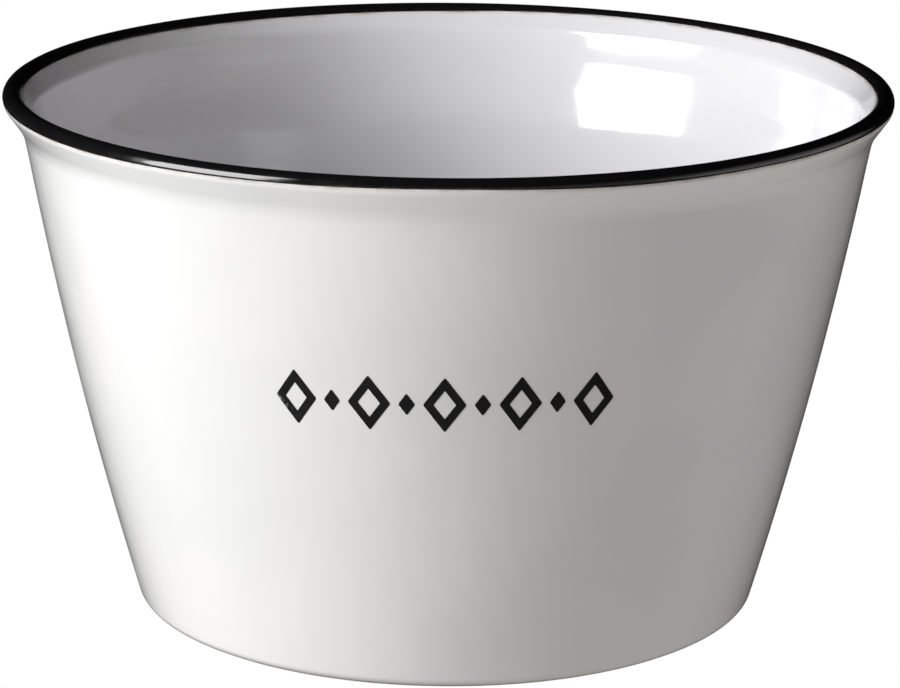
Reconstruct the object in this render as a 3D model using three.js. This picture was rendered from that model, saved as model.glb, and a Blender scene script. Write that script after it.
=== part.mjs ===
// An empty serving bowl of glazed stoneware, turned as one solid: a tapering wall with a
// slight bow, a lip that flares out to a round edge, and a narrow foot ring.
// Millimetres, +Z up. The origin is the middle of the circle that the foot rests on.
import * as THREE from 'three';

// Driving dimensions of the lip
const RIM_RADIUS = 80; // outermost reach of the lip
const LIP_RADIUS = 1.75; // half the thickness of the lip's round edge
const LIP_HEIGHT = 93.1; // height of the centre of that round edge
const FLARE_LEAN = THREE.MathUtils.degToRad(35); // lean of the flare away from upright

// Driving dimensions of the wall
const NECK_RADIUS = 75.5; // outer wall where the flare begins
const NECK_HEIGHT = 85.2; // height of that place
const INNER_NECK_HEIGHT = 84.2; // the same place on the inside
const CONE_RADIUS = 56.1; // where the outer wall would meet the table if it ran on
const WALL_BOW = 1.2; // how far the wall bows outwards between the two
const WALL_THICKNESS = 3.9; // measured square to the wall

// Driving dimensions of the base
const FOOT_CORNER_RADIUS = 2; // rounding from the wall into the foot
const FOOT_RING_WIDTH = 5.6; // flat ring that the bowl rests on
const RECESS_DEPTH = 1.8; // hollow under the base, inside the foot ring
const FLOOR_HEIGHT = 6.6; // inside floor above the table
const COVE_RADIUS = 14; // rounding from the inner wall into the floor

// Fineness of the turned surface
const SEGMENTS_ROUND = 72;
const WALL_STEPS = 10;
const FLARE_STEPS = 5;
const LIP_STEPS = 9;
const FOOT_CORNER_STEPS = 5;
const RECESS_STEPS = 3;
const COVE_STEPS = 7;

// Radius of the outer wall's surface at a height: a straight cone with a shallow bow.
function outerWallRadius(height) {
  const down = (NECK_HEIGHT - height) / NECK_HEIGHT;
  return THREE.MathUtils.lerp(NECK_RADIUS, CONE_RADIUS, down) + 4 * WALL_BOW * down * (1 - down);
}

// Lean of the wall away from upright at a height, in radians.
function wallLean(height) {
  const step = 0.01;
  return Math.atan((outerWallRadius(height + step) - outerWallRadius(height - step)) / (2 * step));
}

function innerWallRadius(height) {
  return outerWallRadius(height) - WALL_THICKNESS / Math.cos(wallLean(height));
}

// Points on a round stretch of the outline, without its first one.
function arc(centre, radius, startAngle, endAngle, steps) {
  const clockwise = endAngle < startAngle;
  const curve = new THREE.EllipseCurve(centre.x, centre.y, radius, radius, startAngle, endAngle, clockwise);
  return curve.getPoints(steps).slice(1);
}

// Where two straight lines of the outline cross, each given by a point and its lean.
function crossing(pointA, leanA, pointB, leanB) {
  const slopeA = Math.tan(leanA);
  const slopeB = Math.tan(leanB);
  const height = (pointB.x - pointA.x + slopeA * pointA.y - slopeB * pointB.y) / (slopeA - slopeB);
  return new THREE.Vector2(pointA.x + slopeA * (height - pointA.y), height);
}

// Smooth bend between the lip and the wall, from one point to another, without the first one.
function bend(start, startLean, end, endLean) {
  const corner = crossing(start, startLean, end, endLean);
  return new THREE.QuadraticBezierCurve(start, corner, end).getPoints(FLARE_STEPS).slice(1);
}

// A stretch of wall between two heights, without its first point.
function wall(radiusAt, fromHeight, toHeight) {
  const points = [];
  for (let i = 1; i <= WALL_STEPS; i += 1) {
    const height = THREE.MathUtils.lerp(fromHeight, toHeight, i / WALL_STEPS);
    points.push(new THREE.Vector2(radiusAt(height), height));
  }
  return points;
}

// Centre of an arc that touches the wall and a level surface under or over it.
function cornerCentre(radiusAt, centreHeight, radius) {
  return new THREE.Vector2(radiusAt(centreHeight) - radius / Math.cos(wallLean(centreHeight)), centreHeight);
}

// Under the base: from the axis over the recess to the outer edge of the flat foot ring.
function undersideOutline(footCentre) {
  const ringInner = footCentre.x - FOOT_RING_WIDTH;
  const recessEdge = new THREE.Vector2(ringInner - RECESS_DEPTH, 0);
  return [
    new THREE.Vector2(0, RECESS_DEPTH),
    new THREE.Vector2(recessEdge.x, RECESS_DEPTH),
    ...arc(recessEdge, RECESS_DEPTH, Math.PI / 2, 0, RECESS_STEPS),
    new THREE.Vector2(footCentre.x, 0),
  ];
}

// Outside: round the foot's corner and up the wall to the neck.
function outsideOutline(footCentre) {
  const lean = wallLean(FOOT_CORNER_RADIUS);
  const corner = arc(footCentre, FOOT_CORNER_RADIUS, -Math.PI / 2, -lean, FOOT_CORNER_STEPS);
  return [...corner, ...wall(outerWallRadius, corner.at(-1).y, NECK_HEIGHT)];
}

// Lip: out along the flare, over the round edge and back down the inner side of the flare.
function lipOutline(neck) {
  const centre = new THREE.Vector2(RIM_RADIUS - LIP_RADIUS, LIP_HEIGHT);
  const under = new THREE.Vector2(Math.cos(FLARE_LEAN), -Math.sin(FLARE_LEAN)).multiplyScalar(LIP_RADIUS);
  const edge = arc(centre, LIP_RADIUS, -FLARE_LEAN, Math.PI - FLARE_LEAN, LIP_STEPS);
  const innerNeck = new THREE.Vector2(innerWallRadius(INNER_NECK_HEIGHT), INNER_NECK_HEIGHT);
  return [
    ...bend(neck, wallLean(NECK_HEIGHT), under.add(centre), FLARE_LEAN),
    ...edge,
    ...bend(edge.at(-1), FLARE_LEAN, innerNeck, wallLean(INNER_NECK_HEIGHT)),
  ];
}

// Inside: down the wall, round the cove and across the flat floor to the axis.
function insideOutline() {
  const coveCentre = cornerCentre(innerWallRadius, FLOOR_HEIGHT + COVE_RADIUS, COVE_RADIUS);
  const cove = arc(coveCentre, COVE_RADIUS, -wallLean(coveCentre.y), -Math.PI / 2, COVE_STEPS);
  const coveTop = coveCentre.y - COVE_RADIUS * Math.sin(wallLean(coveCentre.y));
  return [
    ...wall(innerWallRadius, INNER_NECK_HEIGHT, coveTop),
    ...cove,
    new THREE.Vector2(0, FLOOR_HEIGHT),
  ];
}

function bowlGeometry() {
  const footCentre = cornerCentre(outerWallRadius, FOOT_CORNER_RADIUS, FOOT_CORNER_RADIUS);
  const outside = outsideOutline(footCentre);
  const outline = [
    ...undersideOutline(footCentre),
    ...outside,
    ...lipOutline(outside.at(-1)),
    ...insideOutline(),
  ];
  const halfSegment = Math.PI / SEGMENTS_ROUND;
  const geometry = new THREE.LatheGeometry(outline, SEGMENTS_ROUND, halfSegment);
  return geometry.rotateX(Math.PI / 2);
}

const whiteGlaze = new THREE.MeshStandardMaterial({ color: 0xefeeea, roughness: 0.15, metalness: 0 });

const bowl = new THREE.Mesh(bowlGeometry(), whiteGlaze);
bowl.name = 'bowl';

const part = new THREE.Group();
part.add(bowl);

export default part;
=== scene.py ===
import math

import bmesh
import bpy
from bpy.props import FloatProperty, FloatVectorProperty, IntProperty, PointerProperty
from mathutils import Matrix, Vector, noise


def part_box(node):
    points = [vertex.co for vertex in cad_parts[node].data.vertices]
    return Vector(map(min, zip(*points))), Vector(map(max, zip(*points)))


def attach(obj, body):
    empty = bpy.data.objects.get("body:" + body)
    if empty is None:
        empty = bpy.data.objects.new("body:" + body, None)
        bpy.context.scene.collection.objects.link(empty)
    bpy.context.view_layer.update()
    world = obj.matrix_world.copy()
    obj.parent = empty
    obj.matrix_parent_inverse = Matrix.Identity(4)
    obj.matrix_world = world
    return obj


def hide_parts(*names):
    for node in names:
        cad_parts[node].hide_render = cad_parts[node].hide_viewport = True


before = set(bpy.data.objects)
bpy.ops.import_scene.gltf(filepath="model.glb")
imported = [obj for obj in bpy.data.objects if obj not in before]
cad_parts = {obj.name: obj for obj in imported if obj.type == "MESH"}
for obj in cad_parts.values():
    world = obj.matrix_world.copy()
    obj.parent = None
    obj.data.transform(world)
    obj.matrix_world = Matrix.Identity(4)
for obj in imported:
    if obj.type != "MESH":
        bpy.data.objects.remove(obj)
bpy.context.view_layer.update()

bl_info = {
    "name": "Banded Serving Bowl",
    "version": (1, 0, 0),
    "blender": (4, 5, 0),
    "location": "3D View > Sidebar > Bowl",
    "description": "A white glazed serving bowl with a black banded lip and a printed row of lozenges",
    "category": "Add Mesh",
}

# The lip, read from the frame. Measured late in the photo, it reaches a little less far than the solid's.
BOWL_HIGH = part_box("bowl")[1]
LIP_TRIM = 0.0006
RIM_RADIUS = round(BOWL_HIGH.x, 3) - LIP_TRIM
RIM_TOP = round(BOWL_HIGH.z, 4)

# Fineness of the turned meshes
STEPS_ROUND = 288
BAND_STEPS_ROUND = 576
BAND_STEPS_ACROSS = 28
WALL_STEP = 0.0020
FLARE_STEP = 0.0005
FLAT_STEP = 0.0040
MERGE_DISTANCE = 0.000001
PRINT_STRIP = 0.0008
SHARP_ANGLE = math.radians(40.0)

# Shares that steer the modelling: how much of its reach a rounding uses, so that two never meet, how
# steep an edge has to be to count as wall, and how blunt the black band is across
BEVEL_SLACK = 0.999
STEEP_SHARE = 0.5
BAND_BLUNTNESS = 0.45

# Fineness of the patterns: the higher, the finer
UNEVEN_SCALE = 25.0
POOLING_SCALE = 28.0
WAVE_SCALE = 45.0
RING_SCALE = 55.0
SHEEN_SCALE = 90.0
CLOUD_SCALE = 120.0
BAND_WAVE_SCALE = 150.0
BAND_SHEEN_SCALE = 160.0
SMOKE_SCALE = 260.0
BLOTCH_SCALE = 320.0
RAGGED_SCALE = 420.0
PITTING_SCALE = 700.0
INK_GRAIN_SCALE = 900.0
SAND_SCALE = 1400.0
FIBRE_SCALE = 6.0

# Where most of a noise's values lie, and what the glazes and the clay make of them
NOISE_LOW = 0.3
NOISE_HIGH = 0.7
GLAZE_ROUGHNESS = (0.10, 0.17)
BAND_ROUGHNESS = (0.09, 0.22)
INK_ROUGHNESS = (0.22, 0.38)
CLAY_ROUGHNESS = (0.75, 0.95)
CLAY_TONES = (0.75, 1.05)
SAND_TONES = (0.8, 1.05)
SMOKE_TONES = (0.15, 0.75)
BAND_RAGGEDNESS = (0.3, 1.3)
# Strongest share of the band's thin edge, of the print's wear, and of the painted shade at the foot
THIN_AND_SHADE_SHARE = 0.85
POOL_COOLNESS = 0.8

# Between which values of its noise a pattern fades in
POOL_EDGES = (0.35, 0.68)
SMOKE_EDGES = (0.35, 0.70)
SAND_EDGES = (0.35, 0.65)
WORN_EDGES = (0.50, 0.62)
FIBRE_EDGES = (0.2, 0.8)

# How the brushed band wanders: degrees round from the front to the right, and millimetres along the lip
BAND_OUTER_EDGE = [
    (-180, -1.60), (-140, -1.72), (-100, -1.62), (-50, -1.76), (-20, -1.58), (0, -1.36),
    (23, -1.78), (42, -1.58), (75, -1.66), (110, -1.55), (150, -1.70), (180, -1.60),
]
BAND_INNER_EDGE = [
    (-180, 3.45), (-150, 3.60), (-110, 3.55), (-70, 3.45), (-30, 3.60), (10, 3.30),
    (50, 3.20), (90, 3.10), (130, 3.05), (165, 3.05), (172, 3.20), (180, 3.45),
]
MILLIMETRE = 0.001

# Soft light from round the studio: degrees from the front to the right, degrees up, and how strong it
# is in red, green and blue
SOFT_LIGHTS = [
    (-90, -45, (0.92, 0.95, 0.97)),
    (-135, -45, (0.49, 0.50, 0.51)),
    (180, -45, (0.50, 0.50, 0.51)),
    (0, -90, (0.87, 0.85, 0.83)),
    (0, -10, (0.16, 0.16, 0.16)),
    (45, -10, (0.27, 0.26, 0.25)),
    (90, -10, (0.93, 0.90, 0.88)),
    (90, -45, (0.22, 0.21, 0.20)),
]
SOFT_SPREAD = math.radians(50.0)
KEY_AIM_HEIGHT = 0.07
SENSOR_WIDTH = 36.0
WHITE = (1.0, 1.0, 1.0, 1.0)
BLACK = (0.0, 0.0, 0.0, 1.0)


def length(name, description, default):
    return FloatProperty(
        name=name, description=description, default=default, precision=5,
        unit="LENGTH", subtype="DISTANCE",
    )


def angle(name, description, degrees):
    return FloatProperty(
        name=name, description=description, default=math.radians(degrees),
        unit="ROTATION", subtype="ANGLE",
    )


def share(name, description, default):
    return FloatProperty(
        name=name, description=description, default=default, min=0.0, subtype="FACTOR",
    )


def colour(name, description, default):
    return FloatVectorProperty(
        name=name, description=description, default=default, size=3, min=0.0, max=1.0,
        subtype="COLOR",
    )


class BowlShape(bpy.types.PropertyGroup):
    """Sizes of the thrown body."""

    rim_radius: length("Rim radius", "Outermost reach of the lip", RIM_RADIUS)
    rim_top: length("Rim top", "Height of the lip's highest point", RIM_TOP)
    lip_radius: length("Lip radius", "Half the thickness of the lip's round edge", 0.00175)
    flare_lean: angle("Flare lean", "Lean of the flare away from upright", 35.0)
    neck_radius: length("Neck radius", "Outer wall where the flare begins", 0.0755)
    neck_height: length("Neck height", "Height where the flare begins", 0.0852)
    neck_round: length("Neck rounding", "Radius of the bend between wall and flare", 0.008)
    base_radius: length("Base radius", "Where the outer wall would meet the table", 0.0561)
    wall_bow: length("Wall bow", "How far the wall bows outwards half way up", 0.0012)
    bow_fade: length("Bow fade", "Height over which the bow eases into the neck", 0.003)
    inner_flare_round: length("Inner flare rounding", "Bend from the lip into the inner flare", 0.008)
    inner_neck: length("Inner neck", "Inside radius at the bend under the lip", 0.07356)
    inner_neck_height: length("Inner neck height", "Height of that bend", 0.0906)
    inner_neck_round: length("Inner neck rounding", "Radius of that bend", 0.0029)
    inner_waist: length("Inner waist", "Inside radius at the foot of the upright stretch", 0.07253)
    inner_waist_height: length("Inner waist height", "Height of that place", 0.0827)
    inner_waist_round: length("Inner waist rounding", "Radius of the bend there", 0.026)
    inner_shoulder: length("Inner shoulder", "Inside radius where the lean eases again", 0.06954)
    inner_shoulder_height: length("Inner shoulder height", "Height of that place", 0.0736)
    inner_shoulder_round: length("Inner shoulder rounding", "Radius of the bend there", 0.017)
    inner_belly: length("Inner belly", "Inside radius where it draws in to the floor", 0.0656)
    inner_belly_height: length("Inner belly height", "Height of that place", 0.050)
    inner_belly_round: length("Inner belly rounding", "Radius of the bend there", 0.060)
    inner_base: length("Inner base", "Where the inner wall would meet the table", 0.0518)
    foot_corner: length("Foot corner", "Rounding from the wall into the foot", 0.002)
    foot_inner: length("Foot inner radius", "Inner edge of the ring it rests on", 0.0490)
    foot_inner_round: length("Foot inner rounding", "Rounding of that edge", 0.0003)
    recess_depth: length("Recess depth", "Hollow under the base", 0.0018)
    recess_round: length("Recess rounding", "Rounding from the ring into that hollow", 0.0010)
    floor_height: length("Floor height", "Inside floor above the table", 0.0066)
    cove_radius: length("Cove radius", "Rounding from the inner wall into the floor", 0.014)
    clay_height: length("Clay height", "Unglazed clay under the foot", 0.00025)
    clay_inset: length("Clay inset", "How far the clay keeps in from the foot's inner edge", 0.0004)
    clay_overlap: length("Clay overlap", "How far the clay reaches up into the body", 0.0003)
    clay_edge: length("Clay edge", "Softening of the clay's lower edges", 0.00015)
    unevenness: length("Unevenness", "How far the hand-turned wall wanders", 0.00012)


class BandLook(bpy.types.PropertyGroup):
    """The black band brushed round the lip."""

    lift: length("Lift", "How far the band stands proud of the white glaze", 0.00008)
    sink: length("Sink", "How far its underside reaches into the body", 0.00015)
    fade: length("Fade", "Width of the brown, thinner glaze along its edges", 0.00035)
    black: colour("Black", "Body colour of the band", (0.0065, 0.0062, 0.0068))
    thin_edge: colour("Thin edge", "Colour where the glaze thins out", (0.075, 0.058, 0.050))
    wave_height: length("Wave height", "Height of the slight waves in it", 0.00006)


class PrintLook(bpy.types.PropertyGroup):
    """The row of lozenges printed on the front."""

    large_count: IntProperty(name="Large lozenges", description="Outlined lozenges in the row", default=5)
    row_length: length("Row length", "From end to end along the wall", 0.0575)
    row_height: length("Row height", "Height of the row's middle above the table", 0.0548)
    row_offset: length("Row offset", "How far its middle lies to the right of the front", -0.0002)
    large_width: length("Large width", "Width of an outlined lozenge", 0.0072)
    large_height: length("Large height", "Height of an outlined lozenge", 0.0100)
    stroke: length("Stroke", "Thickness of an outlined lozenge's line", 0.0014)
    small_width: length("Small width", "Width of a solid lozenge", 0.0028)
    small_height: length("Small height", "Height of a solid lozenge", 0.0040)
    corner: length("Corner", "Softening of the lozenges' corners", 0.0003)
    lift: length("Lift", "How far the print stands proud of the glaze", 0.00005)
    sink: length("Sink", "How far its underside reaches into the body", 0.00008)
    ink: colour("Ink", "Colour of the print", (0.014, 0.013, 0.013))
    wear: share("Wear", "How much of the left end has worn thin", 0.5)
    even_wear: share("Even wear", "How much of the rest has worn thin", 0.06)
    wear_reach: share("Wear reach", "How much of the row's length that end is", 0.3)
    grain_height: length("Grain height", "Height of the grain in the ink", 0.00001)


class GlazeLook(bpy.types.PropertyGroup):
    """The white glaze and the bare clay."""

    white: colour("White", "Main colour of the glaze", (0.845, 0.835, 0.825))
    pooled: colour("Pooled", "Tone where the glaze lies thicker", (0.805, 0.80, 0.795))
    # Painted light: the cooler inside tint stands for the cooler light inside the bowl, not a different
    # glaze
    inside: colour("Inside", "Cooler colour of the glaze inside", (0.832, 0.824, 0.846))
    bleed: colour("Bleed", "Tint next to the black band", (0.42, 0.36, 0.31))
    bleed_width: length("Bleed width", "How far that tint spreads", 0.0007)
    # Painted shade: the darker tone at the foot stands for the contact shade under the bowl, and fades
    # out over the height below
    painted_foot_shade: colour("Thin foot", "Tone of the thin glaze at the foot", (0.40, 0.38, 0.36))
    foot_shade_height: length("Thin height", "How far up from the foot that tone fades", 0.0022)
    wave_height: length("Wave height", "Height of the slight waves in the glaze", 0.00025)
    ring_height: length("Ring height", "Height of the throwing rings inside", 0.00002)
    pit_height: length("Pit height", "Depth of the finest pitting", 0.000004)
    clay: colour("Clay", "Bare fired clay under the foot", (0.50, 0.43, 0.34))
    dark_clay: colour("Dark clay", "Its darkest grains", (0.20, 0.17, 0.14))
    sand_height: length("Sand height", "Height of the clay's sandy grain", 0.00008)


class StudioLook(bpy.types.PropertyGroup):
    """The floor, the light and the camera."""

    floor_radius: length("Floor radius", "Size of the white floor", 3.0)
    floor_gap: length("Floor gap", "How far it lies under the foot", 0.0001)
    floor_tone: colour("Floor tone", "Colour of the floor", (1.0, 1.0, 1.0))
    floor_fibre: colour("Floor fibre", "Tone of the fibres in it", (0.998, 0.998, 0.998))
    key_turn: angle("Key turn", "Way to the key softbox, from the front to the right", -62.4)
    key_rise: angle("Key rise", "Its height above the horizon", 23.0)
    key_tilt: angle("Key tilt", "Turn of the key softbox about the line to the bowl", 7.4)
    key_distance: length("Key distance", "From the bowl to the key softbox", 1.03)
    key_width: length("Key width", "Width of the key softbox", 0.637)
    key_height: length("Key height", "Height of the key softbox", 0.714)
    key_power: FloatProperty(
        name="Key power", description="Power of the key softbox", default=15.0, unit="POWER",
    )
    aim_height: length("Aim height", "Height of the point the camera looks at", 0.0460)
    aim_right: length("Aim right", "How far that point lies off the middle", 0.00058)
    distance: length("Distance", "From the camera to that point", 0.697)
    elevation: angle("Elevation", "Camera's height above the horizon", 15.437)
    roll: angle("Roll", "Turn of the camera about its own axis", 0.435)
    lens: FloatProperty(name="Lens", description="Focal length", default=152.8, unit="CAMERA")


def interpolated(table, degrees):
    """Reads a table of (degrees, millimetres) round the rim, eased from each entry to the next."""
    for (start, low), (end, high) in zip(table, table[1:]):
        if start <= degrees <= end:
            part = (degrees - start) / (end - start)
            eased = part * part * (3 - 2 * part)
            return (low + (high - low) * eased) * MILLIMETRE
    raise ValueError("the table has to run from -180 to 180 degrees")


def degrees_round(point):
    """Direction of a point seen from the axis, from the front to the right."""
    return math.degrees(math.atan2(point.x, -point.y))


def cone_radius(shape, height):
    slope = (shape.neck_radius - shape.base_radius) / shape.neck_height
    return shape.base_radius + slope * height


def bow(shape, height):
    """How far the outer wall stands out from a straight cone, eased to nothing at the neck."""
    below = (shape.neck_height - height) / shape.neck_height
    fade = shape.bow_fade / shape.neck_height
    if below <= -fade:
        return 0.0
    if below < fade:
        eased = (below + fade) ** 2 / (4 * fade)
    else:
        eased = below
    return 4 * shape.wall_bow * eased * (1 - below)


def wall_radius(shape, height):
    return cone_radius(shape, height) + bow(shape, height)


def before_bow(shape, radius, height):
    """Point of the section that the bow carries out to that radius."""
    return Vector((radius / (1 + bow(shape, height) / cone_radius(shape, height)), height))


def flare_axes(shape):
    """Directions across and along the flare, as (radius, height)."""
    across = Vector((math.cos(shape.flare_lean), -math.sin(shape.flare_lean)))
    along = Vector((math.sin(shape.flare_lean), math.cos(shape.flare_lean)))
    return across, along


def lip_centre(shape):
    return Vector((shape.rim_radius - shape.lip_radius, shape.rim_top - shape.lip_radius))


def on_lip(shape, distance, lift):
    """Point of the section at a distance along the lip from its middle, inwards positive."""
    across, along = flare_axes(shape)
    quarter = shape.lip_radius * math.pi / 2
    past = max(abs(distance) - quarter, 0.0)
    turn = max(-quarter, min(quarter, distance)) / shape.lip_radius
    outward = along * math.cos(turn) - across * math.sin(turn)
    return lip_centre(shape) + outward * (shape.lip_radius + lift) - along * past


def lip_distance(shape, radius, height):
    """Distance along the lip of a point of the section, the other way round from on_lip."""
    across, along = flare_axes(shape)
    offset = Vector((radius, height)) - lip_centre(shape)
    outwards = offset.dot(across)
    upwards = offset.dot(along)
    if upwards >= 0.0:
        return -math.atan2(outwards, upwards) * shape.lip_radius
    quarter = shape.lip_radius * math.pi / 2
    return math.copysign(quarter - upwards, -outwards)


def crossing(point_a, along_a, point_b, along_b):
    """Where two straight lines of the section cross."""
    between = point_b - point_a
    scale = between.cross(along_b) / along_a.cross(along_b)
    return point_a + along_a * scale


def section_corners(shape):
    """The section's corners from the axis underneath to the axis inside: point, rounding, steps."""
    across, along = flare_axes(shape)
    centre = lip_centre(shape)
    lip = shape.lip_radius
    foot = Vector((shape.base_radius, 0.0))
    wall = Vector((shape.neck_radius, shape.neck_height)) - foot
    wall.normalize()
    base = Vector((0.0, shape.clay_height))
    neck_inside = before_bow(shape, shape.inner_neck, shape.inner_neck_height)
    waist = before_bow(shape, shape.inner_waist, shape.inner_waist_height)
    shoulder = before_bow(shape, shape.inner_shoulder, shape.inner_shoulder_height)
    belly = before_bow(shape, shape.inner_belly, shape.inner_belly_height)
    inner_wall = belly - Vector((shape.inner_base, 0.0))
    inner_wall.normalize()
    level = Vector((1.0, 0.0))
    floor = Vector((0.0, shape.floor_height))
    recess = Vector((0.0, shape.recess_depth))
    ring_inner = Vector((shape.foot_inner, shape.clay_height))
    return [
        (recess, 0.0, 0),
        (Vector((shape.foot_inner, shape.recess_depth)), shape.recess_round, 5),
        (ring_inner, shape.foot_inner_round, 3),
        (crossing(base, level, foot, wall), shape.foot_corner, 10),
        (crossing(foot, wall, centre + across * lip, along), shape.neck_round, 10),
        (centre + (across + along) * lip, lip, 14),
        (centre + (along - across) * lip, lip, 14),
        (centre - across * lip - along * lip / 2, shape.inner_flare_round, 6),
        (neck_inside, shape.inner_neck_round, 12),
        (waist, shape.inner_waist_round, 16),
        (shoulder, shape.inner_shoulder_round, 10),
        (belly, shape.inner_belly_round, 10),
        (crossing(belly, inner_wall, floor, level), shape.cove_radius, 16),
        (floor, 0.0, 0),
    ]


def rounding_reach(before, corner, after, radius):
    """How far a rounding of that radius reaches along both edges of a corner."""
    turn = (corner - before).angle(after - corner)
    return radius * math.tan(turn / 2)


def section(corners):
    """One face in the XZ plane with its corners rounded by vertex bevels."""
    bm = bmesh.new()
    verts = [bm.verts.new((point.x, 0.0, point.y)) for point, _, _ in corners]
    bm.faces.new(verts)
    for i, (point, radius, steps) in enumerate(corners):
        if radius == 0.0:
            continue
        before = corners[i - 1][0]
        after = corners[(i + 1) % len(corners)][0]
        reach = rounding_reach(before, point, after, radius) * BEVEL_SLACK
        bmesh.ops.bevel(
            bm, geom=[verts[i]], offset=reach, offset_type="OFFSET", affect="VERTICES",
            segments=steps, profile=0.5, material=-1,
        )
    return bm


def open_section(bm):
    """Leaves only the outline, open along the axis."""
    bmesh.ops.delete(bm, geom=bm.faces[:], context="FACES_ONLY")
    on_axis = [e for e in bm.edges if all(abs(v.co.x) < MERGE_DISTANCE for v in e.verts)]
    bmesh.ops.delete(bm, geom=on_axis, context="EDGES")


def subdivide_outline(bm, shape):
    """Cuts the long straight stretches into even steps."""
    for edge in bm.edges[:]:
        low, high = sorted(v.co.z for v in edge.verts)
        if low > shape.neck_height:
            step = FLARE_STEP
        elif high - low > STEEP_SHARE * edge.calc_length():
            step = WALL_STEP
        else:
            step = FLAT_STEP
        cuts = int(edge.calc_length() / step)
        if cuts > 0:
            bmesh.ops.subdivide_edges(bm, edges=[edge], cuts=cuts)


def bow_section(bm, shape):
    """Carries the straight outline out to the wall's bow."""
    for vert in bm.verts:
        vert.co.x *= 1 + bow(shape, vert.co.z) / cone_radius(shape, vert.co.z)


def spin_round(bm):
    """Turns the outline about the axis into a closed body."""
    bmesh.ops.spin(
        bm, geom=bm.verts[:] + bm.edges[:], cent=(0.0, 0.0, 0.0), axis=(0.0, 0.0, 1.0),
        dvec=(0.0, 0.0, 0.0), angle=2 * math.pi, steps=STEPS_ROUND,
        use_merge=True, use_normal_flip=False, use_duplicate=False,
    )
    close_up(bm)


def close_up(bm):
    """Merges seams and poles, and points the faces outwards."""
    bmesh.ops.remove_doubles(bm, verts=bm.verts[:], dist=MERGE_DISTANCE)
    bmesh.ops.recalc_face_normals(bm, faces=bm.faces[:])


def settle(bm, shape):
    """Gives every piece the same slight unevenness of a bowl turned and fired by hand."""
    for vert in bm.verts:
        height_share = max(vert.co.z, 0.0) / shape.rim_top
        outward = Vector((vert.co.x, vert.co.y, 0.0))
        if outward.length > MERGE_DISTANCE:
            outward.normalize()
        swell = shape.unevenness * noise.noise(vert.co * UNEVEN_SCALE) * height_share
        vert.co += outward * swell


def add_piece(name, bm, material):
    """Makes an object of a finished bmesh, which moves with the bowl and has a slot's finish."""
    mesh = bpy.data.meshes.new(name)
    bm.to_mesh(mesh)
    bm.free()
    mesh.polygons.foreach_set("use_smooth", [True] * len(mesh.polygons))
    mesh.set_sharp_from_angle(angle=SHARP_ANGLE)
    mesh.materials.append(material)
    piece = bpy.data.objects.new(name, mesh)
    bpy.context.scene.collection.objects.link(piece)
    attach(piece, "root")
    return piece


def mark_points(mesh, name, values):
    """Keeps a value for each point, for the material to read."""
    layer = mesh.attributes.new(name, "FLOAT", "POINT")
    layer.data.foreach_set("value", values)


def band_gap(shape, point):
    """How far a point of the body lies from the black band, negative under it."""
    degrees = degrees_round(point)
    distance = lip_distance(shape, math.hypot(point.x, point.y), point.z)
    outer = interpolated(BAND_OUTER_EDGE, degrees)
    inner = interpolated(BAND_INNER_EDGE, degrees)
    return max(outer - distance, distance - inner)


def inside_share(shape, point):
    """1 on the inner side of the bowl and 0 on the outer side."""
    radius = math.hypot(point.x, point.y)
    if point.z > shape.neck_height and lip_distance(shape, radius, point.z) > 0.0:
        return 1.0
    outer = wall_radius(shape, min(point.z, shape.neck_height))
    inside = radius < outer - shape.lip_radius / 2 and point.z > shape.floor_height / 2
    return 1.0 if inside else 0.0


def add_node(tree, kind, inputs=None, **settings):
    """Adds a shader node with its properties, and fills its sockets with values or sockets."""
    made = tree.nodes.new("ShaderNode" + kind)
    for name, value in settings.items():
        setattr(made, name, value)
    for name, value in (inputs or {}).items():
        if isinstance(value, bpy.types.NodeSocket):
            tree.links.new(value, made.inputs[name])
        else:
            made.inputs[name].default_value = value
    return made


def new_material(name):
    """An empty material and its node tree."""
    material = bpy.data.materials.new(name)
    material.use_nodes = True
    material.node_tree.nodes.clear()
    return material, material.node_tree


def rgba(values):
    return (*values, 1.0)


def object_position(tree):
    return add_node(tree, "TexCoord").outputs["Object"]


def attribute(tree, name):
    return add_node(tree, "Attribute", attribute_name=name).outputs["Fac"]


def noise_value(tree, position, scale, detail=2.0, roughness=0.5):
    inputs = {"Vector": position, "Scale": scale, "Detail": detail, "Roughness": roughness}
    return add_node(tree, "TexNoise", inputs).outputs[0]


def ramp_value(tree, value, start, end, low, high):
    """Maps a value smoothly from one range to another."""
    inputs = {"Value": value, "From Min": start, "From Max": end, "To Min": low, "To Max": high}
    return add_node(tree, "MapRange", inputs, interpolation_type="SMOOTHSTEP").outputs["Result"]


def spread(tree, noise_socket, low, high):
    """Maps a noise to a range."""
    return ramp_value(tree, noise_socket, NOISE_LOW, NOISE_HIGH, low, high)


def math_value(tree, operation, first, second):
    return add_node(tree, "Math", {0: first, 1: second}, operation=operation).outputs[0]


def vector_value(tree, operation, inputs, output="Vector"):
    return add_node(tree, "VectorMath", inputs, operation=operation).outputs[output]


def mixed_colour(tree, factor, first, second):
    return add_node(tree, "Mix", {0: factor, 6: first, 7: second}, data_type="RGBA").outputs[2]


def bumped(tree, height, distance, normal=None):
    inputs = {"Height": height, "Distance": distance, "Strength": 1.0}
    if normal is not None:
        inputs["Normal"] = normal
    return add_node(tree, "Bump", inputs).outputs["Normal"]


def finish_shader(tree, inputs):
    shader = add_node(tree, "BsdfPrincipled", inputs)
    output = add_node(tree, "OutputMaterial")
    tree.links.new(shader.outputs[0], output.inputs["Surface"])


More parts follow.
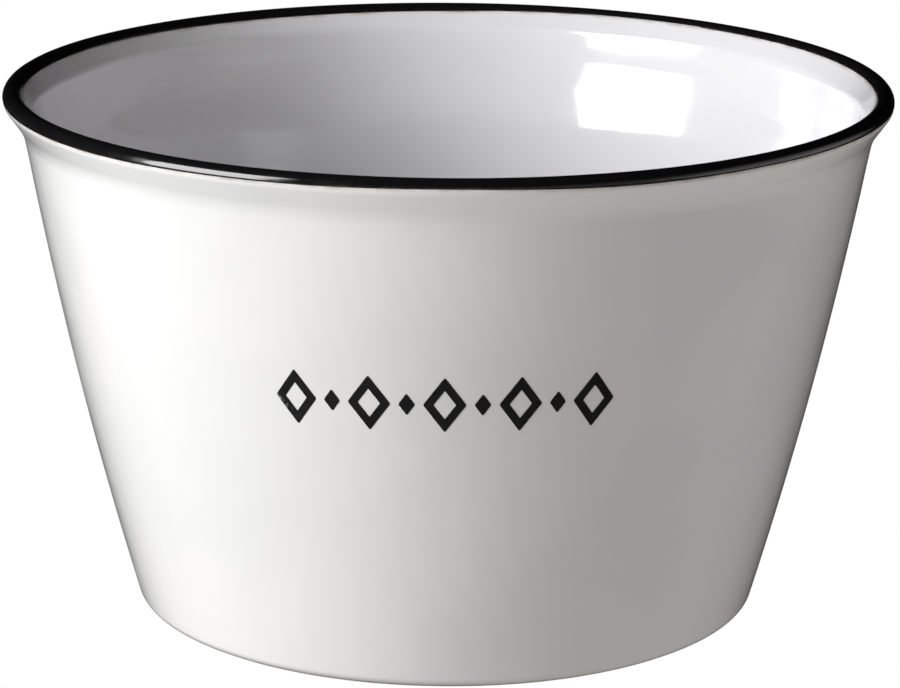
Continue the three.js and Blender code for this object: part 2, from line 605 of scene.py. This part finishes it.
def body_glaze(look):
    """Thick glossy white glaze with faint pooling, throwing rings inside, a tint at the band, a painted
    cool tint inside and painted contact shade at the foot.
    """
    material, tree = new_material("body_glaze")
    position = object_position(tree)
    normal = glaze_relief(tree, position, look)
    sheen = noise_value(tree, position, SHEEN_SCALE, 3.0)
    finish_shader(tree, {
        "Base Color": glaze_colour(tree, position, look),
        "Roughness": spread(tree, sheen, *GLAZE_ROUGHNESS), "Normal": normal, "IOR": 1.5,
        "Coat Weight": 0.6, "Coat Roughness": 0.04, "Coat IOR": 1.45, "Coat Normal": normal,
    })
    return material


def glaze_colour(tree, position, look):
    """White with pooled tones, a cooler tint inside painted for the cool light there, smoky beside the
    band, and painted contact shade darkening the foot's edge.
    """
    pools = noise_value(tree, position, POOLING_SCALE, 3.0)
    pooling = ramp_value(tree, pools, *POOL_EDGES, 0.0, 1.0)
    base = mixed_colour(tree, pooling, rgba(look.white), rgba(look.pooled))
    # Painted light: the inside is tinted cooler, standing for the cooler light that falls there, a little
    # less in the pools
    less_in_pools = ramp_value(tree, pooling, 0.0, 1.0, 1.0, POOL_COOLNESS)
    cool = math_value(tree, "MULTIPLY", attribute(tree, "inside"), less_in_pools)
    base = mixed_colour(tree, cool, base, rgba(look.inside))
    near_band = ramp_value(tree, attribute(tree, "band_gap"), 0.0, look.bleed_width, 1.0, 0.0)
    smoke = noise_value(tree, position, SMOKE_SCALE, 3.0)
    patchy = ramp_value(tree, smoke, *SMOKE_EDGES, *SMOKE_TONES)
    tint = math_value(tree, "MULTIPLY", near_band, patchy)
    base = mixed_colour(tree, tint, base, rgba(look.bleed))
    # Painted shade: darker towards the foot's edge, standing for the contact shade there
    height = add_node(tree, "SeparateXYZ", {0: position}).outputs["Z"]
    thin = ramp_value(tree, height, 0.0, look.foot_shade_height, THIN_AND_SHADE_SHARE, 0.0)
    return mixed_colour(tree, thin, base, rgba(look.painted_foot_shade))


def glaze_relief(tree, position, look):
    """Slight waves all over, throwing rings inside and the finest pitting."""
    rings = add_node(
        tree, "TexWave",
        {"Vector": position, "Scale": RING_SCALE, "Distortion": 1.4, "Detail": 2.0, "Detail Scale": 0.6},
        wave_type="BANDS", bands_direction="Z", wave_profile="SIN",
    ).outputs["Fac"]
    inner_rings = math_value(tree, "MULTIPLY", rings, attribute(tree, "inside"))
    normal = bumped(tree, noise_value(tree, position, WAVE_SCALE, 2.0), look.wave_height)
    normal = bumped(tree, inner_rings, look.ring_height, normal)
    pits = noise_value(tree, position, PITTING_SCALE, 2.0)
    return bumped(tree, pits, look.pit_height, normal)


def band_glaze(look):
    """Glossy black glaze that thins to a smoky brown along its edges."""
    material, tree = new_material("band_glaze")
    position = object_position(tree)
    wander = noise_value(tree, position, RAGGED_SCALE, 3.0)
    ragged = spread(tree, wander, *BAND_RAGGEDNESS)
    reach = math_value(tree, "MULTIPLY", ragged, look.fade)
    margin = math_value(tree, "DIVIDE", attribute(tree, "edge_margin"), reach)
    thin = ramp_value(tree, margin, 0.0, 1.0, THIN_AND_SHADE_SHARE, 0.0)
    base = mixed_colour(tree, thin, rgba(look.black), rgba(look.thin_edge))
    sheen = noise_value(tree, position, BAND_SHEEN_SCALE, 3.0)
    rough = spread(tree, sheen, *BAND_ROUGHNESS)
    normal = bumped(tree, noise_value(tree, position, BAND_WAVE_SCALE, 2.0), look.wave_height)
    finish_shader(tree, {
        "Base Color": base, "Roughness": rough, "Normal": normal, "IOR": 1.5,
        "Coat Weight": 0.5, "Coat Roughness": 0.05, "Coat IOR": 1.45, "Coat Normal": normal,
    })
    return material


def print_ink(look, glaze):
    """Fired black print, worn thin towards its left end."""
    material, tree = new_material("print_ink")
    position = object_position(tree)
    across = add_node(tree, "SeparateXYZ", {0: position}).outputs["X"]
    row_end = -look.row_length / 2
    wear_end = row_end + look.wear_reach * look.row_length
    left = ramp_value(tree, across, row_end, wear_end, look.wear, look.even_wear)
    grain = noise_value(tree, position, INK_GRAIN_SCALE, 4.0, 0.6)
    blotch = noise_value(tree, position, BLOTCH_SCALE, 2.0)
    worn = math_value(tree, "MULTIPLY", math_value(tree, "ADD", grain, blotch), left)
    gone = ramp_value(tree, worn, *WORN_EDGES, 0.0, THIN_AND_SHADE_SHARE)
    base = mixed_colour(tree, gone, rgba(look.ink), rgba(glaze.white))
    finish_shader(tree, {
        "Base Color": base, "Roughness": spread(tree, blotch, *INK_ROUGHNESS),
        "Normal": bumped(tree, grain, look.grain_height), "IOR": 1.5,
    })
    return material


def foot_clay(look):
    """Dry fired clay with sandy grain."""
    material, tree = new_material("foot_clay")
    position = object_position(tree)
    grain = noise_value(tree, position, SAND_SCALE, 4.0, 0.65)
    cloud = noise_value(tree, position, CLOUD_SCALE, 3.0)
    tone = spread(tree, cloud, *CLAY_TONES)
    sand = ramp_value(tree, grain, *SAND_EDGES, *SAND_TONES)
    shade = math_value(tree, "MULTIPLY", tone, sand)
    base = mixed_colour(tree, shade, rgba(look.dark_clay), rgba(look.clay))
    finish_shader(tree, {
        "Base Color": base, "Roughness": spread(tree, grain, *CLAY_ROUGHNESS),
        "Normal": bumped(tree, grain, look.sand_height),
    })
    return material


def floor_surface(look):
    """Plain white paper that shows as the white of the backdrop and lights nothing."""
    material, tree = new_material("studio_floor")
    position = object_position(tree)
    fibres = noise_value(tree, position, FIBRE_SCALE, 4.0)
    fibre = ramp_value(tree, fibres, *FIBRE_EDGES, 0.0, 1.0)
    tone = mixed_colour(tree, fibre, rgba(look.floor_fibre), rgba(look.floor_tone))
    seen = add_node(tree, "LightPath").outputs["Is Camera Ray"]
    shown = mixed_colour(tree, seen, BLACK, tone)
    light = add_node(tree, "Emission", {"Color": shown, "Strength": 1.0})
    output = add_node(tree, "OutputMaterial")
    tree.links.new(light.outputs[0], output.inputs["Surface"])
    return material


class BOWL_OT_body(bpy.types.Operator):
    """Turn the glazed body from its section"""

    bl_idname = "bowl.body"
    bl_label = "Glazed Body"

    def execute(self, context):
        shape = context.scene.bowl_shape
        bm = section(section_corners(shape))
        open_section(bm)
        subdivide_outline(bm, shape)
        bow_section(bm, shape)
        spin_round(bm)
        gaps = [band_gap(shape, vert.co) for vert in bm.verts]
        insides = [inside_share(shape, vert.co) for vert in bm.verts]
        settle(bm, shape)
        body = add_piece("bowl_body", bm, body_glaze(context.scene.bowl_glaze))
        mark_points(body.data, "band_gap", gaps)
        mark_points(body.data, "inside", insides)
        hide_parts("bowl")
        return {"FINISHED"}


class BOWL_OT_rim_band(bpy.types.Operator):
    """Lay the black band round the lip"""

    bl_idname = "bowl.rim_band"
    bl_label = "Black Rim Band"

    def execute(self, context):
        shape = context.scene.bowl_shape
        look = context.scene.bowl_band
        bm = bmesh.new()
        bmesh.ops.create_grid(
            bm, x_segments=BAND_STEPS_ROUND, y_segments=BAND_STEPS_ACROSS, size=1.0
        )
        margins = {}
        for vert in bm.verts:
            place, margin = self.wrapped(shape, look, vert.co)
            vert.co = place
            margins[vert.index] = margin
        layer = bm.verts.layers.float.new("edge_margin")
        bm.verts.ensure_lookup_table()
        for vert in bm.verts:
            vert[layer] = margins[vert.index]
        close_up(bm)
        settle(bm, shape)
        add_piece("rim_band", bm, band_glaze(look))
        return {"FINISHED"}

    def wrapped(self, shape, look, flat):
        """Place on the lip of a point of the flat grid, and how far it is from the band's nearer edge."""
        degrees = flat.x * 180.0
        outer = interpolated(BAND_OUTER_EDGE, degrees)
        inner = interpolated(BAND_INNER_EDGE, degrees)
        turn = (flat.y + 1.0) * math.pi
        sideways = math.cos(turn)
        upwards = math.copysign(abs(math.sin(turn)) ** BAND_BLUNTNESS, math.sin(turn))
        half_width = (inner - outer) / 2
        distance = (inner + outer) / 2 + half_width * sideways
        lift = upwards * (look.lift if upwards > 0.0 else look.sink)
        point = on_lip(shape, distance, lift)
        radians = math.radians(degrees)
        place = Vector((point.x * math.sin(radians), -point.x * math.cos(radians), point.y))
        return place, half_width * (1.0 - abs(sideways))


class BOWL_OT_lozenge_row(bpy.types.Operator):
    """Print the row of lozenges on the front"""

    bl_idname = "bowl.lozenge_row"
    bl_label = "Printed Lozenges"

    def execute(self, context):
        shape = context.scene.bowl_shape
        look = context.scene.bowl_print
        bm = bmesh.new()
        self.lay_out(bm, look)
        self.cut_into_strips(bm, look)
        self.thicken(bm, look)
        for vert in bm.verts:
            vert.co = self.wrapped(shape, look, vert.co)
        close_up(bm)
        settle(bm, shape)
        add_piece("lozenge_row", bm, print_ink(look, context.scene.bowl_glaze))
        return {"FINISHED"}

    def lay_out(self, bm, look):
        """Large outlined and small solid lozenges in turn, flat in the XZ plane."""
        small_count = look.large_count - 1
        filled = look.large_count * look.large_width + small_count * look.small_width
        gap = (look.row_length - filled) / (2 * small_count)
        start = -look.row_length / 2
        for i in range(look.large_count + small_count):
            is_large = i % 2 == 0
            width = look.large_width if is_large else look.small_width
            height = look.large_height if is_large else look.small_height
            middle = start + width / 2
            self.add_lozenge(bm, middle, width, height, look, is_large)
            start += width + gap

    def add_lozenge(self, bm, middle, width, height, look, outlined):
        outer = self.add_diamond(bm, middle, width, height, look.corner)
        if not outlined:
            return
        slant = math.hypot(width, height) / 2
        shrink = 1.0 - look.stroke * slant / (width * height / 4)
        inner = self.add_diamond(bm, middle, width * shrink, height * shrink, look.corner / 2)
        loops = list(outer.edges) + list(inner.edges)
        bmesh.ops.delete(bm, geom=[outer, inner], context="FACES_ONLY")
        bmesh.ops.bridge_loops(bm, edges=loops)

    def add_diamond(self, bm, middle, width, height, corner):
        """One flat face with four softened corners."""
        before = set(bm.faces)
        made = bmesh.ops.create_circle(bm, cap_ends=True, segments=4, radius=1.0)["verts"]
        for vert in made:
            vert.co = Vector((middle + vert.co.x * width / 2, 0.0, vert.co.y * height / 2))
        bmesh.ops.bevel(
            bm, geom=made, offset=corner, offset_type="OFFSET", affect="VERTICES",
            segments=3, profile=0.5, material=-1,
        )
        return [face for face in bm.faces if face not in before][0]

    def cut_into_strips(self, bm, look):
        """Cuts the flat row every so often, so that it can follow the round wall."""
        count = int(look.row_length / PRINT_STRIP)
        for i in range(1, count):
            place = -look.row_length / 2 + look.row_length * i / count
            bmesh.ops.bisect_plane(
                bm, geom=bm.verts[:] + bm.edges[:] + bm.faces[:], plane_co=(place, 0.0, 0.0),
                plane_no=(1.0, 0.0, 0.0),
            )

    def thicken(self, bm, look):
        for vert in bm.verts:
            vert.co.y = -look.lift
        made = bmesh.ops.extrude_face_region(bm, geom=bm.faces[:])["geom"]
        for item in made:
            if isinstance(item, bmesh.types.BMVert):
                item.co.y = look.sink

    def wrapped(self, shape, look, flat):
        """Place on the front of the wall of a point of the flat row."""
        height = look.row_height + flat.z
        turn = (look.row_offset + flat.x) / wall_radius(shape, look.row_height)
        radius = wall_radius(shape, height) - flat.y
        return Vector((radius * math.sin(turn), -radius * math.cos(turn), height))


class BOWL_OT_foot_ring(bpy.types.Operator):
    """Add the bare clay that the bowl stands on"""

    bl_idname = "bowl.foot_ring"
    bl_label = "Bare Foot Ring"

    def execute(self, context):
        shape = context.scene.bowl_shape
        inner = shape.foot_inner + shape.clay_inset
        outer = wall_radius(shape, shape.foot_corner) - shape.foot_corner
        top = shape.clay_height + shape.clay_overlap
        corners = [
            (Vector((inner, 0.0)), shape.clay_edge, 3),
            (Vector((outer, 0.0)), shape.clay_edge, 3),
            (Vector((outer, top)), 0.0, 0),
            (Vector((inner, top)), 0.0, 0),
        ]
        bm = section(corners)
        bmesh.ops.delete(bm, geom=bm.faces[:], context="FACES_ONLY")
        spin_round(bm)
        add_piece("foot_ring", bm, foot_clay(context.scene.bowl_glaze))
        return {"FINISHED"}


def direction_to(turn, rise):
    """Unit vector towards a place in the studio, turned from the front to the right and raised."""
    return Vector((math.sin(turn) * math.cos(rise), -math.cos(turn) * math.cos(rise), math.sin(rise)))


class BOWL_OT_studio(bpy.types.Operator):
    """Set up the floor, the lights and the camera"""

    bl_idname = "bowl.studio"
    bl_label = "Studio"

    def execute(self, context):
        look = context.scene.bowl_studio
        self.add_floor(look)
        self.light_world(context.scene)
        self.add_key(look)
        self.add_camera(context.scene, look)
        context.scene.view_settings.view_transform = "Standard"
        return {"FINISHED"}

    def add_floor(self, look):
        bm = bmesh.new()
        bmesh.ops.create_circle(bm, cap_ends=True, segments=96, radius=look.floor_radius)
        mesh = bpy.data.meshes.new("studio_floor")
        bmesh.ops.translate(bm, verts=bm.verts[:], vec=(0.0, 0.0, -look.floor_gap))
        bm.to_mesh(mesh)
        bm.free()
        mesh.materials.append(floor_surface(look))
        floor = bpy.data.objects.new("studio_floor", mesh)
        bpy.context.scene.collection.objects.link(floor)
        floor.visible_diffuse = False
        floor.visible_shadow = False

    def light_world(self, scene):
        """Soft light from a few sides of a dark room, in front of a white backdrop."""
        world = bpy.data.worlds.new("studio_world")
        world.use_nodes = True
        scene.world = world
        tree = world.node_tree
        tree.nodes.clear()
        direction = add_node(tree, "TexCoord").outputs["Generated"]
        light = Vector((0.0, 0.0, 0.0))
        for turn, rise, tint in SOFT_LIGHTS:
            towards = direction_to(math.radians(turn), math.radians(rise))
            facing = vector_value(tree, "DOT_PRODUCT", {0: direction, 1: towards}, "Value")
            strength = ramp_value(tree, facing, math.cos(SOFT_SPREAD), 1.0, 0.0, 1.0)
            lobe = vector_value(tree, "SCALE", {0: tint, 3: strength})
            light = vector_value(tree, "ADD", {0: lobe, 1: light})
        seen = add_node(tree, "LightPath").outputs["Is Camera Ray"]
        shown = mixed_colour(tree, seen, light, WHITE)
        background = add_node(tree, "Background", {"Color": shown})
        output = add_node(tree, "OutputWorld")
        tree.links.new(background.outputs[0], output.inputs["Surface"])

    def add_key(self, look):
        """The one softbox, which the glaze mirrors inside the bowl."""
        lamp = bpy.data.lights.new("key_softbox", "AREA")
        lamp.shape = "RECTANGLE"
        lamp.size = look.key_width
        lamp.size_y = look.key_height
        lamp.energy = look.key_power
        softbox = bpy.data.objects.new("key_softbox", lamp)
        bpy.context.scene.collection.objects.link(softbox)
        away = direction_to(look.key_turn, look.key_rise)
        softbox.location = Vector((0.0, 0.0, KEY_AIM_HEIGHT)) + away * look.key_distance
        facing = (-away).to_track_quat("-Z", "Y").to_matrix()
        softbox.rotation_mode = "QUATERNION"
        softbox.rotation_quaternion = (facing @ Matrix.Rotation(look.key_tilt, 3, "Z")).to_quaternion()
        softbox.visible_camera = False

    def add_camera(self, scene, look):
        lens = bpy.data.cameras.new("studio_camera")
        lens.lens = look.lens
        lens.sensor_width = SENSOR_WIDTH
        lens.sensor_fit = "HORIZONTAL"
        camera = bpy.data.objects.new("studio_camera", lens)
        scene.collection.objects.link(camera)
        back = Vector((0.0, -math.cos(look.elevation), math.sin(look.elevation)))
        aim = Vector((look.aim_right, 0.0, look.aim_height))
        facing = (-back).to_track_quat("-Z", "Y").to_matrix().to_4x4()
        rolled = facing @ Matrix.Rotation(look.roll, 4, "Z")
        camera.matrix_world = Matrix.Translation(aim + back * look.distance) @ rolled
        scene.camera = camera


class BOWL_PT_panel(bpy.types.Panel):
    """The bowl's sizes, colours and pieces"""

    bl_label = "Banded Serving Bowl"
    bl_idname = "BOWL_PT_panel"
    bl_space_type = "VIEW_3D"
    bl_region_type = "UI"
    bl_category = "Bowl"

    def draw(self, context):
        layout = self.layout
        for operator in OPERATORS:
            layout.operator(operator.bl_idname)
        for name in GROUPS:
            box = layout.box()
            group = getattr(context.scene, name)
            for key in group.bl_rna.properties.keys():
                if key not in {"rna_type", "name"}:
                    box.prop(group, key)


GROUPS = {
    "bowl_shape": BowlShape,
    "bowl_band": BandLook,
    "bowl_print": PrintLook,
    "bowl_glaze": GlazeLook,
    "bowl_studio": StudioLook,
}
OPERATORS = [BOWL_OT_body, BOWL_OT_rim_band, BOWL_OT_lozenge_row, BOWL_OT_foot_ring, BOWL_OT_studio]


def register():
    for cls in [*GROUPS.values(), *OPERATORS, BOWL_PT_panel]:
        bpy.utils.register_class(cls)
    for name, cls in GROUPS.items():
        setattr(bpy.types.Scene, name, PointerProperty(type=cls))


def unregister():
    for name in GROUPS:
        delattr(bpy.types.Scene, name)
    for cls in reversed([*GROUPS.values(), *OPERATORS, BOWL_PT_panel]):
        bpy.utils.unregister_class(cls)


def main():
    register()
    bpy.ops.bowl.body()
    bpy.ops.bowl.rim_band()
    bpy.ops.bowl.lozenge_row()
    bpy.ops.bowl.foot_ring()
    bpy.ops.bowl.studio()


if __name__ == "__main__":
    main()
